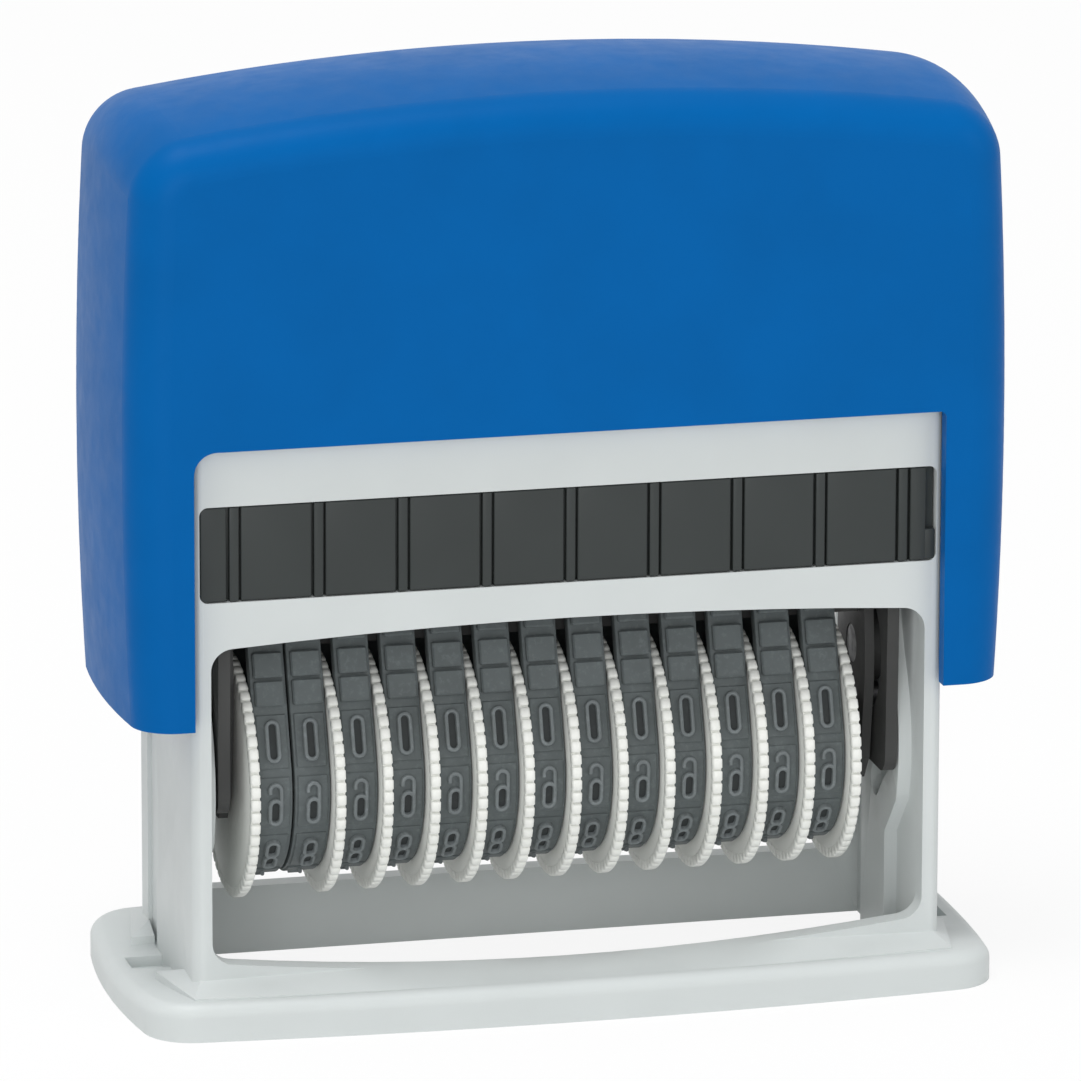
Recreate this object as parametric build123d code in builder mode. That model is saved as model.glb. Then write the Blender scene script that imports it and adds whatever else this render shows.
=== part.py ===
"""Self-inking numbering stamp with thirteen thumbwheel bands.

Millimetres. +X runs along the row of wheels, -Y is the front, +Z is up. The origin is the
middle of the footprint on the surface that the stamp stands on. The cap slides down on the
frame, its yoke carries the pivot of the wheel carrier, and two follower pins in the frame's
cam tracks turn the carrier half a turn, from type against the ink pad to type on the paper.
"""
from build123d import *
from math import asin, atan2, cos, degrees, hypot, pi, radians, sin, sqrt
import os

os.makedirs("parts", exist_ok=True)

# Type wheels and bands
wheel_count = 13
wheel_pitch = 4.0
disc_radius = 10.35
disc_thickness = 0.8
tooth_count = 60
tooth_depth = 0.5
tooth_share = 0.62          # part of the tooth pitch that is tooth
tooth_taper = 0.8           # tooth width at its tip over its width at the root
hub_radius = 7.0
pack_shift = -0.8           # the wheel row sits a little to the left of the frame's middle
axle_height = 18.55
axle_radius = 1.5
spacer_wall = 1.5
band_thickness = 1.2
figure_relief = 0.55
figure_length = 3.65
figure_count = 13           # places round a band
figure_margin = 0.2         # band edge to figure edge

# Print stroke
press_travel = 16.6
paper_gap = 0.1             # type to paper at the bottom of the stroke
print_face_height = 36.15   # type face at rest
face_half_width = 3.25

# Frame
frame_width = 63.8
frame_depth = 22.0
frame_top = 50.4
frame_corner_radius = 1.0
end_wall = 1.8              # front and rear walls
side_wall = 1.6
flange_width = 73.9
flange_depth = 32.8
flange_end_bow = 1.35       # how far the ends of the foot bulge out
flange_side_bow = 1.8       # how far its long sides bulge out
flange_corner_radius = 4.2
flange_height = 2.5         # along the middle, where the foot is thinnest
flange_edge_radius = 1.2
toe_rise = 1.0              # how much higher the hollow top face is at the front and the rear
skirt_height = 3.3          # where the slope up to the front and rear walls begins
skirt_rise = 1.05           # from there to its rim, which lies inside the walls
skirt_reach = 14.9          # Y of the skirt's edge in its middle, at its corners and at its ends
skirt_corner_reach = 13.4
skirt_end_reach = 5.0
skirt_corner_half_width = 32.3
skirt_end_half_width = 33.9
skirt_rim_bow = 0.6
skirt_rim_width = 2.0
window_half_width = 30.3
window_corner_radius = 1.9
sill_middle_height = 3.6
sill_end_height = 5.5
window_top_middle = 33.2
window_top_end = 32.15
rear_window_half_width = 28.6
rear_sill_height = 5.8
pad_window_half_width = 31.2
pad_window_bottom = 36.2
pad_window_top = 44.3
pad_window_radius = 0.7
roof_thickness = 1.6
roof_half_width = 27.7
ledge_depth = 1.0
ledge_height = 1.2
foot_slot_length = 3.3
foot_slot_width = 3.2
foot_slot_depth = 0.9
foot_slot_middle = 0.3

# Cam bulge on each side wall
bulge_height = 1.1          # how far it stands in from the side wall
bulge_rear = 4.2
bulge_top = 35.0
bulge_neck = -3.15          # Y of the front edge above and below the swell
bulge_knee = -6.6
bulge_belly = -7.35
bulge_hip = -5.05
bulge_knee_rise = 3.6       # from the straight foot of the bulge up to its knee
pocket_depth = 0.35
pocket_rear = 7.6
pocket_top = 40.4
pocket_foot = 4.0           # Y of the pocket's front edge, from the foot up
pocket_knee = -2.5
pocket_belly = -4.0
pocket_hip = -0.5
pocket_neck = 1.0
pocket_drop = 6.0           # from the foot of the track down to the straight stretch
follower_arm = 4.5          # pivot to cam pin
cam_pin_radius = 1.0
cam_side_gap = 0.3
cam_track_depth = 0.9
cam_steps = 16

# Carrier
cheek_thickness = 0.8
cheek_half_width = 4.4
cheek_end_half_width = 3.3
cheek_foot = 3.4            # below the wheel axle
cheek_foot_side = 1.2       # where the foot's taper begins, below the wheel axle
cheek_waist_above = 1.0     # the widest stretch, above and below the pivot
cheek_waist_below = 2.0
cheek_top_gap = 0.6         # below the type face
pivot_pin_radius = 1.6
platen_depth = 4.6

# Yoke
arm_inner = 28.0
arm_thickness = 1.0
arm_bottom = 16.9
arm_half_width_top = 8.9
arm_half_width_bottom = 7.4
arm_corner_radius = 1.6
bridge_thickness = 1.7

# Cap
cap_half_width = 37.8       # half widths are those at the middle of the depth
cap_foot_half_width = 37.2
cap_shoulder_half_width = 36.9
cap_half_depth = 12.6
cap_wall = 1.4
cap_bottom = 25.8
cap_shoulder_height = 75.3
cap_arch_rise = 3.0         # from the shoulders to the top
cap_end_radius = 5.2
cap_edge_radius = 3.5
cap_bow = 0.9               # how far the sides draw in at the front and the rear
cap_crown = 1.6             # how far the top drops at the front and the rear
notch_left_reach = 31.95
notch_right_reach = 31.5
notch_height = 49.3
notch_left_radius = 1.9
notch_right_radius = 0.5
rib_thickness = 1.2
rib_spacing = 14.0
rib_bottom = 27.4
rib_top = 66.4

# Ink pad
tray_half_width = 27.6
tray_rear = 8.1
tray_top = 43.2
tray_rim = 1.2
felt_height = 3.5
pad_front_thickness = 1.3
tile_relief = 0.3
tile_pitch = 7.08
tile_gap = 1.18
tile_count = 8

# Springs
spring_spacing = 28.0
spring_radius = 3.5
spring_wire = 0.6
spring_turns = 6.5
spring_seat_radius = 2.7
spring_seat_height = 2.0

# Clearances
slide_gap = 0.2
pad_gap = 0.1
running_gap = 0.05
seat_gap = 0.05
side_gap = 0.1              # along X between wheels, bands and their neighbours

# Worked-out places
frame_front = -frame_depth / 2
wall_inside = frame_depth / 2 - end_wall
side_outer = frame_width / 2
side_inner = side_outer - side_wall
bulge_inner = side_inner - bulge_height
arm_outer = arm_inner + arm_thickness
pivot_to_face = (print_face_height - press_travel - paper_gap) / 2
pivot_height = print_face_height - pivot_to_face
cam_pin_height = pivot_height - follower_arm
track_foot = pivot_height - press_travel + follower_arm
pocket_hip_height = cam_pin_height + cam_pin_radius
belly_height = (track_foot + pocket_hip_height) / 2
cheek_outer = arm_inner - slide_gap
cheek_inner = cheek_outer - cheek_thickness
slot_width = wheel_pitch - disc_thickness
band_width = slot_width - 2 * side_gap
first_gap = 2 * wheel_pitch - disc_thickness
pack_half = ((wheel_count - 2) * wheel_pitch + first_gap) / 2
first_disc_x = pack_shift - pack_half
last_disc_x = pack_shift + pack_half
roof_bottom = pad_window_top
roof_top = roof_bottom + roof_thickness
tray_bottom = pad_window_bottom + pad_gap
tray_front = frame_front + pad_front_thickness
band_inner_radius = hub_radius + side_gap
band_radius = band_inner_radius + band_thickness
platen_half_width = face_half_width - band_thickness - seat_gap
platen_top = print_face_height - figure_relief - band_thickness - seat_gap
platen_bottom = platen_top - platen_depth
cap_top = cap_shoulder_height + cap_arch_rise
ceiling_half_width = cap_shoulder_half_width - cap_wall
ceiling_radius = (ceiling_half_width**2 + cap_arch_rise**2) / (2 * cap_arch_rise)
ceiling_middle = cap_top - cap_wall
ceiling_drop = ceiling_radius - sqrt(ceiling_radius**2 - arm_outer**2)
crown_drop = cap_crown * (arm_half_width_top / cap_half_depth) ** 2
ceiling_at_arm = ceiling_middle - ceiling_drop - crown_drop
bridge_top = ceiling_at_arm - seat_gap
bridge_bottom = bridge_top - bridge_thickness


def disc_middle(number):
    """X of the middle of a wheel's toothed disc; wheels count from 1 at the left."""
    if number == 1:
        return first_disc_x
    return first_disc_x + first_gap + (number - 2) * wheel_pitch


def hub_side(number):
    """+1 where the hub and band lie to the right of the disc, -1 where to the left."""
    return 1 if number == 1 else -1


def cam_point(turn):
    """The middle of the cam track (Y, Z) at a turn of the carrier in degrees."""
    angle = radians(turn)
    pivot_now = pivot_height - press_travel * turn / 180
    return Vector(-follower_arm * sin(angle), pivot_now - follower_arm * cos(angle))


# Frame ---------------------------------------------------------------------------------
flange_half_width = flange_width / 2
flange_half_depth = flange_depth / 2
flange_corner_x = flange_half_width - flange_end_bow
flange_corner_y = flange_half_depth - flange_side_bow
toe_height = flange_height + toe_rise
skirt_rim_half_width = side_outer - end_wall / 2
skirt_rim_reach = frame_depth / 2 - end_wall / 2
cam_half_width = cam_pin_radius + cam_side_gap

with BuildPart() as frame:
    with BuildSketch(Plane.XY) as foot_outline:
        with BuildLine():
            for side in (-1, 1):
                ThreePointArc(
                    (-flange_corner_x, side * flange_corner_y),
                    (0, side * flange_half_depth),
                    (flange_corner_x, side * flange_corner_y),
                )
                ThreePointArc(
                    (side * flange_corner_x, -flange_corner_y),
                    (side * flange_half_width, 0),
                    (side * flange_corner_x, flange_corner_y),
                )
        make_face()
        fillet(foot_outline.vertices(), flange_corner_radius)
    extrude(amount=toe_height)
    with BuildSketch(Plane.YZ.offset(-flange_half_width)):
        with BuildLine():
            ThreePointArc(
                (-flange_half_depth, toe_height),
                (0, flange_height),
                (flange_half_depth, toe_height),
            )
            Line((-flange_half_depth, toe_height), (flange_half_depth, toe_height))
        make_face()
    extrude(amount=flange_width, mode=Mode.SUBTRACT)
    fillet(frame.faces().sort_by(Axis.Z)[-1].edges(), flange_edge_radius)
    # Skirt that slopes up to the long walls
    for side in (-1, 1):
        for level, share in (
            (flange_height - flange_edge_radius, 0),
            (skirt_height, 0),
            (skirt_height + skirt_rise, 1),
        ):
            corner_x = skirt_corner_half_width + share * (skirt_rim_half_width - skirt_corner_half_width)
            corner_y = skirt_corner_reach + share * (skirt_rim_reach - skirt_corner_reach)
            middle_y = skirt_reach + share * (skirt_rim_reach + skirt_rim_bow - skirt_reach)
            end_x = skirt_end_half_width + share * (skirt_rim_half_width - skirt_end_half_width)
            end_y = skirt_end_reach + share * (skirt_rim_reach - skirt_rim_width - skirt_end_reach)
            with BuildSketch(Plane.XY.offset(level)):
                with BuildLine():
                    ThreePointArc(
                        (-corner_x, side * corner_y),
                        (0, side * middle_y),
                        (corner_x, side * corner_y),
                    )
                    Polyline(
                        (corner_x, side * corner_y),
                        (end_x, side * end_y),
                        (-end_x, side * end_y),
                        (-corner_x, side * corner_y),
                    )
                make_face()
        loft(ruled=True)
    # Upright walls, open at the top and the bottom
    with BuildSketch(Plane.XY):
        RectangleRounded(frame_width, frame_depth, frame_corner_radius)
    extrude(amount=frame_top)
    with BuildSketch(Plane.XY):
        Rectangle(2 * side_inner, 2 * wall_inside)
    extrude(amount=frame_top, mode=Mode.SUBTRACT)
    # Cam bulge, with its track, and the shallow pocket outside it
    for side in (-1, 1):
        bulge_plane = Plane.YZ.offset(side * bulge_inner)
        with BuildSketch(bulge_plane):
            with BuildLine():
                knee = (bulge_knee, track_foot)
                belly = (bulge_belly, belly_height)
                hip = (bulge_hip, pivot_height)
                Polyline((bulge_neck, 0), (bulge_neck, track_foot - bulge_knee_rise), knee)
                ThreePointArc(knee, belly, hip)
                Polyline(
                    hip,
                    (bulge_neck, pivot_height + follower_arm),
                    (bulge_neck, bulge_top),
                    (bulge_rear, bulge_top),
                    (bulge_rear, 0),
                    (bulge_neck, 0),
                )
            make_face()
        extrude(amount=side * bulge_height)
        with BuildSketch(bulge_plane):
            for step in range(cam_steps):
                start = cam_point(180 * step / cam_steps)
                run = cam_point(180 * (step + 1) / cam_steps) - start
                middle = start + run / 2
                heading = degrees(atan2(run.Y, run.X))
                with Locations(Location((middle.X, middle.Y), heading)):
                    SlotCenterToCenter(run.length, 2 * cam_half_width)
        extrude(amount=side * cam_track_depth, mode=Mode.SUBTRACT)
        with BuildSketch(Plane.YZ.offset(side * side_outer)):
            with BuildLine():
                foot = (pocket_foot, track_foot - pocket_drop)
                knee = (pocket_knee, track_foot)
                belly = (pocket_belly, belly_height)
                hip = (pocket_hip, pocket_hip_height)
                Polyline((pocket_foot, flange_height), foot, knee)
                ThreePointArc(knee, belly, hip)
                Polyline(
                    hip,
                    (pocket_neck, pivot_height),
                    (pocket_neck, pocket_top),
                    (pocket_rear, pocket_top),
                    (pocket_rear, flange_height),
                    (pocket_foot, flange_height),
                )
            make_face()
        extrude(amount=-side * pocket_depth, mode=Mode.SUBTRACT)
        # Slot in the foot beside the side wall
        foot_slot_x = side * (side_outer + foot_slot_width / 2)
        with Locations((foot_slot_x, -side * foot_slot_middle, flange_height)):
            Box(foot_slot_width, foot_slot_length, 2 * foot_slot_depth, mode=Mode.SUBTRACT)
    # Roof of the pad bay, the ledge that carries the pad's rear edge, the spring seats
    with BuildSketch(Plane.XY.offset(roof_bottom)):
        Rectangle(2 * roof_half_width, 2 * wall_inside)
    extrude(amount=roof_thickness)
    with BuildSketch(Plane.XY.offset(pad_window_bottom)):
        with Locations((0, wall_inside - ledge_depth / 2)):
            Rectangle(2 * roof_half_width, ledge_depth)
    extrude(amount=-ledge_height)
    with BuildSketch(Plane.XY.offset(roof_top)):
        with GridLocations(spring_spacing, 0, 2, 1):
            Circle(spring_seat_radius)
    extrude(amount=spring_seat_height)
    # Front wheel window, cut through the skirt too
    with BuildSketch(Plane.XZ.offset(flange_half_depth)) as front_window:
        with BuildLine():
            ThreePointArc(
                (-window_half_width, sill_end_height),
                (0, sill_middle_height),
                (window_half_width, sill_end_height),
            )
            Line((window_half_width, sill_end_height), (window_half_width, window_top_end))
            ThreePointArc(
                (window_half_width, window_top_end),
                (0, window_top_middle),
                (-window_half_width, window_top_end),
            )
            Line((-window_half_width, window_top_end), (-window_half_width, sill_end_height))
        make_face()
        fillet(front_window.vertices(), window_corner_radius)
    extrude(amount=wall_inside - flange_half_depth, mode=Mode.SUBTRACT)
    with BuildSketch(Plane.XZ.offset(-frame_front)):
        with Locations((0, (pad_window_bottom + pad_window_top) / 2)):
            RectangleRounded(
                2 * pad_window_half_width,
                pad_window_top - pad_window_bottom,
                pad_window_radius,
            )
    extrude(amount=-end_wall, mode=Mode.SUBTRACT)
    # Rear window
    with BuildSketch(Plane.XZ.offset(-wall_inside)):
        with Locations((0, (rear_sill_height + window_top_end) / 2)):
            RectangleRounded(
                2 * rear_window_half_width,
                window_top_end - rear_sill_height,
                window_corner_radius,
            )
    extrude(amount=-end_wall, mode=Mode.SUBTRACT)
frame.part.label = "frame"
export_step(frame.part, "parts/frame.step")

# Ink pad -------------------------------------------------------------------------------
felt_half_width = tray_half_width - tray_rim
felt_front = tray_front + tray_rim
felt_rear = tray_rear - tray_rim
with BuildPart() as pad_cartridge:
    pad_front_half_width = pad_window_half_width - pad_gap
    pad_front_height = pad_window_top - pad_window_bottom - 2 * pad_gap
    pad_corner_radius = pad_window_radius - pad_gap
    with BuildSketch(Plane.XZ.offset(-tray_front)):
        with Locations((0, (pad_window_bottom + pad_window_top) / 2)):
            RectangleRounded(2 * pad_front_half_width, pad_front_height, pad_corner_radius)
    extrude(amount=pad_front_thickness - tile_relief)
    with BuildSketch(Plane.XZ.offset(-tray_front + pad_front_thickness - tile_relief)):
        with Locations((0, (pad_window_bottom + pad_window_top) / 2)):
            with GridLocations(tile_pitch, 0, tile_count, 1):
                Rectangle(tile_pitch - tile_gap, pad_front_height)
            end_tile = pad_front_half_width - tile_pitch * tile_count / 2 - tile_gap / 2
            with GridLocations(2 * pad_front_half_width - end_tile, 0, 2, 1):
                Rectangle(end_tile, pad_front_height)
            RectangleRounded(
                2 * pad_front_half_width,
                pad_front_height,
                pad_corner_radius,
                mode=Mode.INTERSECT,
            )
    extrude(amount=tile_relief)
    with BuildSketch(Plane.XY.offset(tray_bottom)):
        with Locations((0, (tray_front + tray_rear) / 2)):
            Rectangle(2 * tray_half_width, tray_rear - tray_front)
    extrude(amount=tray_top - tray_bottom)
    with BuildSketch(Plane.XY.offset(tray_bottom)):
        with Locations((0, (felt_front + felt_rear) / 2)):
            Rectangle(2 * felt_half_width, felt_rear - felt_front)
    extrude(amount=felt_height + seat_gap, mode=Mode.SUBTRACT)
pad_cartridge.part.label = "pad_cartridge"
export_step(pad_cartridge.part, "parts/pad_cartridge.step")

with BuildPart() as ink_felt:
    with BuildSketch(Plane.XY.offset(tray_bottom)):
        with Locations((0, (felt_front + felt_rear) / 2)):
            Rectangle(
                2 * (felt_half_width - seat_gap),
                felt_rear - felt_front - 2 * seat_gap,
            )
    extrude(amount=felt_height)
ink_felt.part.label = "ink_felt"
export_step(ink_felt.part, "parts/ink_felt.step")

# Cap -----------------------------------------------------------------------------------
def cap_form(inset):
    """The cap's rounded block, with every face but the bottom moved in by the inset."""
    half_depth = cap_half_depth - inset
    with BuildPart() as form:
        for side in (-1, 0, 1):
            swell = (side * half_depth / cap_half_depth) ** 2
            foot = cap_foot_half_width - inset - cap_bow * swell
            widest = cap_half_width - inset - cap_bow * swell
            shoulder = cap_shoulder_half_width - inset - cap_bow * swell
            shoulder_height = cap_shoulder_height - inset - cap_crown * swell
            top = cap_top - inset - cap_crown * swell
            middle_height = (cap_bottom + shoulder_height) / 2
            with BuildSketch(Plane.XZ.offset(side * half_depth)) as outline:
                with BuildLine():
                    Line((-foot, cap_bottom), (foot, cap_bottom))
                    ThreePointArc(
                        (foot, cap_bottom),
                        (widest, middle_height),
                        (shoulder, shoulder_height),
                    )
                    ThreePointArc(
                        (shoulder, shoulder_height),
                        (0, top),
                        (-shoulder, shoulder_height),
                    )
                    ThreePointArc(
                        (-shoulder, shoulder_height),
                        (-widest, middle_height),
                        (-foot, cap_bottom),
                    )
                make_face()
                fillet(outline.vertices().group_by(Axis.Y)[-1], cap_end_radius - inset)
        loft()
        faces = form.faces().sort_by(Axis.Y)
        foot_edges = form.faces().sort_by(Axis.Z)[0].edges()
        rounded = [edge for edge in faces[0].edges() + faces[-1].edges() if edge not in foot_edges]
        fillet(rounded, cap_edge_radius - inset)
    return form.part


cap_outer = cap_form(0)
cap_cavity = cap_form(cap_wall)
with BuildPart() as cap_shell:
    add(cap_outer)
    add(cap_cavity, mode=Mode.SUBTRACT)
    # Front and rear notch
    with BuildSketch(Plane.XZ.offset(-cap_half_depth)) as notch:
        with Locations(((notch_right_reach - notch_left_reach) / 2, (cap_bottom + notch_height) / 2)):
            Rectangle(notch_left_reach + notch_right_reach, notch_height - cap_bottom)
        top_corners = notch.vertices().group_by(Axis.Y)[-1].sort_by(Axis.X)
        fillet(top_corners[0], notch_left_radius)
        top_corners = notch.vertices().group_by(Axis.Y)[-1].sort_by(Axis.X)
        fillet(top_corners[-1], notch_right_radius)
    extrude(amount=2 * cap_half_depth, mode=Mode.SUBTRACT)
    # Guide ribs that run on the frame's side walls
    rib_inner = side_outer + slide_gap
    rib_outer = cap_foot_half_width - cap_wall / 2
    with BuildSketch(Plane.XY.offset(rib_bottom)):
        with GridLocations(rib_inner + rib_outer, rib_spacing, 2, 2):
            Rectangle(rib_outer - rib_inner, rib_thickness)
    extrude(amount=rib_top - rib_bottom)
cap_shell.part.label = "cap_shell"
export_step(cap_shell.part, "parts/cap_shell.step")

# Yoke ----------------------------------------------------------------------------------
with BuildPart() as yoke:
    for side in (-1, 1):
        with BuildSketch(Plane.YZ.offset(side * arm_inner)) as arm_outline:
            with BuildLine():
                Polyline(
                    (-arm_half_width_bottom, arm_bottom),
                    (arm_half_width_bottom, arm_bottom),
                    (arm_half_width_top, bridge_top),
                    (-arm_half_width_top, bridge_top),
                    (-arm_half_width_bottom, arm_bottom),
                )
            make_face()
            fillet(arm_outline.vertices().group_by(Axis.Y)[0], arm_corner_radius)
            with Locations((0, pivot_height)):
                Circle(pivot_pin_radius, mode=Mode.SUBTRACT)
        extrude(amount=side * arm_thickness)
        # Half-round slot for the cam pin, open to the front of the pivot
        with BuildSketch(Plane.YZ.offset(side * arm_inner)):
            with BuildLine():
                CenterArc((0, pivot_height), follower_arm + cam_half_width, 90, 180)
                CenterArc((0, pivot_height), follower_arm - cam_half_width, 90, 180)
                Line(
                    (0, pivot_height + follower_arm - cam_half_width),
                    (0, pivot_height + follower_arm + cam_half_width),
                )
                Line(
                    (0, pivot_height - follower_arm - cam_half_width),
                    (0, pivot_height - follower_arm + cam_half_width),
                )
            make_face()
            with Locations((0, pivot_height - follower_arm), (0, pivot_height + follower_arm)):
                Circle(cam_half_width)
        extrude(amount=side * arm_thickness, mode=Mode.SUBTRACT)
    with BuildSketch(Plane.XY.offset(bridge_bottom)):
        Rectangle(2 * arm_outer, 2 * arm_half_width_bottom)
    extrude(amount=bridge_thickness)
    with BuildSketch(Plane.XY.offset(bridge_bottom)):
        with GridLocations(spring_spacing, 0, 2, 1):
            Circle(spring_seat_radius)
    extrude(amount=-spring_seat_height)
yoke.part.label = "yoke"
export_step(yoke.part, "parts/yoke.step")

pivot_pin_inner = cheek_inner + seat_gap
for name, side in (("left", -1), ("right", 1)):
    with BuildPart() as pivot_pin:
        with BuildSketch(Plane.YZ.offset(side * pivot_pin_inner)):
            with Locations((0, pivot_height)):
                Circle(pivot_pin_radius)
        extrude(amount=side * (arm_outer - pivot_pin_inner))
    pivot_pin.part.label = f"pivot_pin_{name}"
    export_step(pivot_pin.part, f"parts/pivot_pin_{name}.step")

# Return springs ------------------------------------------------------------------------
spring_bottom = roof_top + seat_gap + spring_wire / 2
spring_length = bridge_bottom - seat_gap - spring_wire / 2 - spring_bottom
for name, side in (("left", -1), ("right", 1)):
    with BuildPart() as return_spring:
        spring_x = side * spring_spacing / 2
        with BuildLine() as coil:
            Helix(
                pitch=spring_length / spring_turns,
                height=spring_length,
                radius=spring_radius,
                center=(spring_x, 0, spring_bottom),
            )
        with BuildSketch(Plane(coil.edge() @ 0, z_dir=coil.edge() % 0)):
            Circle(spring_wire / 2)
        sweep(path=coil.wire(), is_frenet=True)
    return_spring.part.label = f"return_spring_{name}"
    export_step(return_spring.part, f"parts/return_spring_{name}.step")

# Carrier -------------------------------------------------------------------------------
cheek_top = print_face_height - cheek_top_gap
waist_top = pivot_height + cheek_waist_above
waist_bottom = pivot_height - cheek_waist_below
foot_side = axle_height - cheek_foot_side
foot_bottom = axle_height - cheek_foot
foot_half_width = cheek_end_half_width / 2
for name, side in (("left", -1), ("right", 1)):
    with BuildPart() as carrier_cheek:
        with BuildSketch(Plane.YZ.offset(side * cheek_inner)):
            with BuildLine():
                Polyline(
                    (-foot_half_width, foot_bottom),
                    (foot_half_width, foot_bottom),
                    (cheek_end_half_width, foot_side),
                    (cheek_half_width, waist_bottom),
                    (cheek_half_width, waist_top),
                    (cheek_end_half_width, cheek_top),
                    (-cheek_end_half_width, cheek_top),
                    (-cheek_half_width, waist_top),
                    (-cheek_half_width, waist_bottom),
                    (-cheek_end_half_width, foot_side),
                    (-foot_half_width, foot_bottom),
                )
            make_face()
            with Locations((0, pivot_height)):
                Circle(pivot_pin_radius + running_gap, mode=Mode.SUBTRACT)
            with Locations((0, axle_height)):
                Circle(axle_radius, mode=Mode.SUBTRACT)
            with Locations((0, cam_pin_height)):
                Circle(cam_pin_radius, mode=Mode.SUBTRACT)
        extrude(amount=side * cheek_thickness)
    carrier_cheek.part.label = f"carrier_cheek_{name}"
    export_step(carrier_cheek.part, f"parts/carrier_cheek_{name}.step")

    with BuildPart() as cam_pin:
        cam_pin_outer = bulge_inner + cam_track_depth - slide_gap
        with BuildSketch(Plane.YZ.offset(side * cheek_inner)):
            with Locations((0, cam_pin_height)):
                Circle(cam_pin_radius)
        extrude(amount=side * (cam_pin_outer - cheek_inner))
    cam_pin.part.label = f"cam_pin_{name}"
    export_step(cam_pin.part, f"parts/cam_pin_{name}.step")

with BuildPart() as platen_bar:
    with BuildSketch(Plane.YZ.offset(-cheek_inner)):
        with Locations((0, (platen_bottom + platen_top) / 2)):
            Rectangle(2 * platen_half_width, platen_depth)
    extrude(amount=2 * cheek_inner)
platen_bar.part.label = "platen_bar"
export_step(platen_bar.part, "parts/platen_bar.step")

with BuildPart() as wheel_axle:
    with BuildSketch(Plane.YZ.offset(-cheek_outer)):
        with Locations((0, axle_height)):
            Circle(axle_radius)
    extrude(amount=2 * cheek_outer)
wheel_axle.part.label = "wheel_axle"
export_step(wheel_axle.part, "parts/wheel_axle.step")

with BuildPart() as axle_spacer:
    spacer_start = last_disc_x + disc_thickness / 2 + side_gap
    with BuildSketch(Plane.YZ.offset(spacer_start)):
        with Locations((0, axle_height)):
            Circle(axle_radius + running_gap + spacer_wall)
            Circle(axle_radius + running_gap, mode=Mode.SUBTRACT)
    extrude(amount=cheek_inner - side_gap - spacer_start)
axle_spacer.part.label = "axle_spacer"
export_step(axle_spacer.part, "parts/axle_spacer.step")

# Thumbwheels ---------------------------------------------------------------------------
tooth_angle = 2 * pi / tooth_count
root_radius = disc_radius - tooth_depth
tooth_root_half = tooth_angle * tooth_share / 2
tooth_tip_half = tooth_root_half * tooth_taper
rim_points = []
for tooth in range(tooth_count):
    for radius, swing in (
        (root_radius, -tooth_root_half),
        (disc_radius, -tooth_tip_half),
        (disc_radius, tooth_tip_half),
        (root_radius, tooth_root_half),
    ):
        angle = tooth * tooth_angle + swing
        rim_points.append((radius * cos(angle), axle_height + radius * sin(angle)))

for number in range(1, wheel_count + 1):
    hub_length = slot_width - side_gap
    side = hub_side(number)
    with BuildPart() as thumbwheel:
        with BuildSketch(Plane.YZ.offset(disc_middle(number) - disc_thickness / 2)):
            with BuildLine():
                Polyline(*rim_points, rim_points[0])
            make_face()
        extrude(amount=disc_thickness)
        with BuildSketch(Plane.YZ.offset(disc_middle(number))):
            with Locations((0, axle_height)):
                Circle(hub_radius)
        extrude(amount=side * (disc_thickness / 2 + hub_length))
        with BuildSketch(Plane.YZ.offset(-cheek_outer)):
            with Locations((0, axle_height)):
                Circle(axle_radius + running_gap)
        extrude(amount=2 * cheek_outer, mode=Mode.SUBTRACT)
    thumbwheel.part.label = f"thumbwheel_{number:02d}"
    export_step(thumbwheel.part, f"parts/thumbwheel_{number:02d}.step")

# Type bands ----------------------------------------------------------------------------
# Each band runs round its hub and over the platen bar, with straight flanks between.
corner_radius = band_thickness + seat_gap
band_top = print_face_height - figure_relief
corner_y = face_half_width - corner_radius
corner_z = band_top - corner_radius
centre_distance = hypot(corner_y, corner_z - axle_height)
flank_swing = asin((band_radius - corner_radius) / centre_distance)
flank_lean = flank_swing - atan2(corner_y, corner_z - axle_height)
flank_length = sqrt(centre_distance**2 - (band_radius - corner_radius) ** 2)
corner_arc = (pi / 2 - flank_lean) * corner_radius
hub_arc = (pi / 2 + flank_lean) * band_radius
half_loop = corner_y + corner_arc + flank_length + hub_arc
figure_pitch = 2 * half_loop / figure_count


def band_place(distance):
    """(Y, Z, outward direction in radians) on a band's face, this far to the rear of its top middle."""
    if distance < corner_y:
        return distance, band_top, pi / 2
    distance -= corner_y
    if distance < corner_arc:
        angle = pi / 2 - distance / corner_radius
        return corner_y + corner_radius * cos(angle), corner_z + corner_radius * sin(angle), angle
    distance -= corner_arc
    if distance < flank_length:
        left = flank_length - distance
        foot_y = band_radius * cos(flank_lean)
        foot_z = axle_height + band_radius * sin(flank_lean)
        return foot_y - left * sin(flank_lean), foot_z + left * cos(flank_lean), flank_lean
    angle = flank_lean - (distance - flank_length) / band_radius
    return band_radius * cos(angle), axle_height + band_radius * sin(angle), angle


def figure_places():
    """(Y, Z, outward direction in degrees) of every raised type block on a band."""
    places = [(0.0, band_top, 90.0)]
    for index in range(1, (figure_count + 1) // 2):
        place_y, place_z, angle = band_place(index * figure_pitch)
        places.append((place_y, place_z, degrees(angle)))
        places.append((-place_y, place_z, 180 - degrees(angle)))
    return places


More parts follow.
